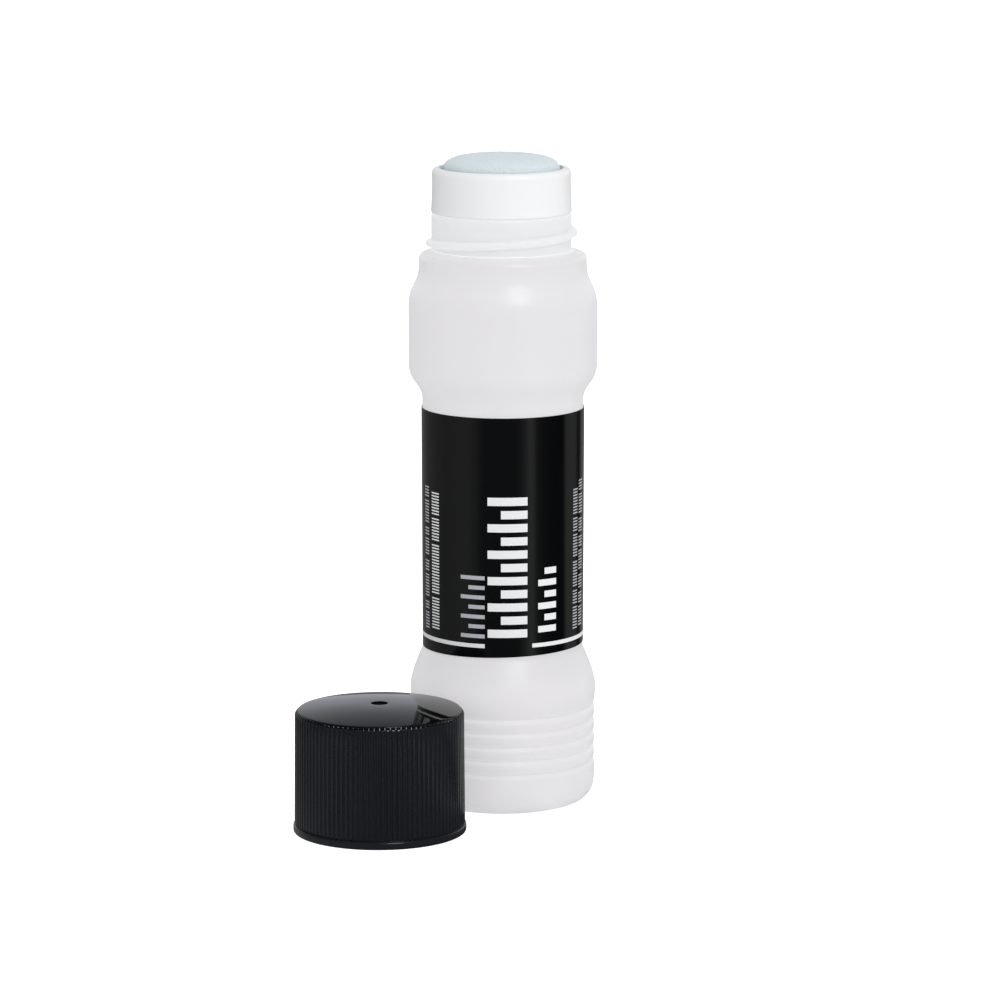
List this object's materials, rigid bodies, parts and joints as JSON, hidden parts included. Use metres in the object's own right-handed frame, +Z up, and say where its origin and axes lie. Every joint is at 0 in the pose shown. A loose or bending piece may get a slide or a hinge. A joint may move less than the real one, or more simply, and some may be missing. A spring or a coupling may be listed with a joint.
{
  "type": "squeeze paint marker",
  "caption": "Squeeze paint marker with a waisted, ribbed soft bottle, a round fabric tip over a perforated plate, mixing balls, and its ribbed screw cap standing beside it.",
  "frame": {"origin": "on the table, in the middle of the smallest X and Y box round the marker and the cap that stands beside it", "axes": "+Z up along the bottle from its foot to its tip; +Y away from the viewer of the picture; +X to the viewer's right; the cap stands at -X, -Y of the bottle"},
  "size_m": [0.0624, 0.0654, 0.1359],
  "materials": {
    "milky_plastic": "milky, slightly translucent soft plastic with a satin skin",
    "black_film": "printed black film, satin gloss",
    "steel": "polished steel",
    "white_plastic": "opaque white moulded plastic, soft gloss",
    "tip_foam": "open cell foam",
    "tip_fabric": "short-pile felted fabric, pale blue-grey",
    "black_plastic": "black moulded plastic, glossy",
    "liner_foam": "closed cell sealing foam, matt"
  },
  "bodies": {
    "bottle": {"bottle_body": "milky_plastic", "label_sleeve": "black_film"},
    "ball_1": {"mixing_ball_1": "steel"},
    "ball_2": {"mixing_ball_2": "steel"},
    "head": {"head_collar": "white_plastic", "flow_plate": "white_plastic", "tip_clamp_ring": "white_plastic", "tip_foam_core": "tip_foam"},
    "tip": {"tip_fabric_cover": "tip_fabric"},
    "liner": {"cap_liner": "liner_foam"},
    "cap": {"cap_shell": "black_plastic"}
  },
  "joints": [
    {"name": "head_pull", "type": "slide", "parent": "bottle", "child": "head", "axis": [0, 0, 1], "range_m": [0, 0.04]},
    {"name": "tip_press", "type": "slide", "parent": "head", "child": "tip", "axis": [0, 0, -1], "range_m": [0, 0.002], "stiffness_N_per_m": 2500, "deforming": ["tip_foam_core"]},
    {"name": "ball_1_rise", "type": "slide", "parent": "bottle", "child": "ball_1", "axis": [0, 0, 1], "range_m": [0, 0.115]},
    {"name": "ball_2_rise", "type": "slide", "parent": "bottle", "child": "ball_2", "axis": [0, 0, 1], "range_m": [0, 0.115]},
    {"name": "cap_lift", "type": "slide", "parent": "bottle", "child": "liner", "axis": [0, 0, 1], "range_m": [0, 0.14]},
    {"name": "cap_turn", "type": "hinge", "parent": "liner", "child": "cap", "pos_m": [-0.0135, -0.01494, 0], "axis": [0, 0, 1], "continuous": true}
  ]
}
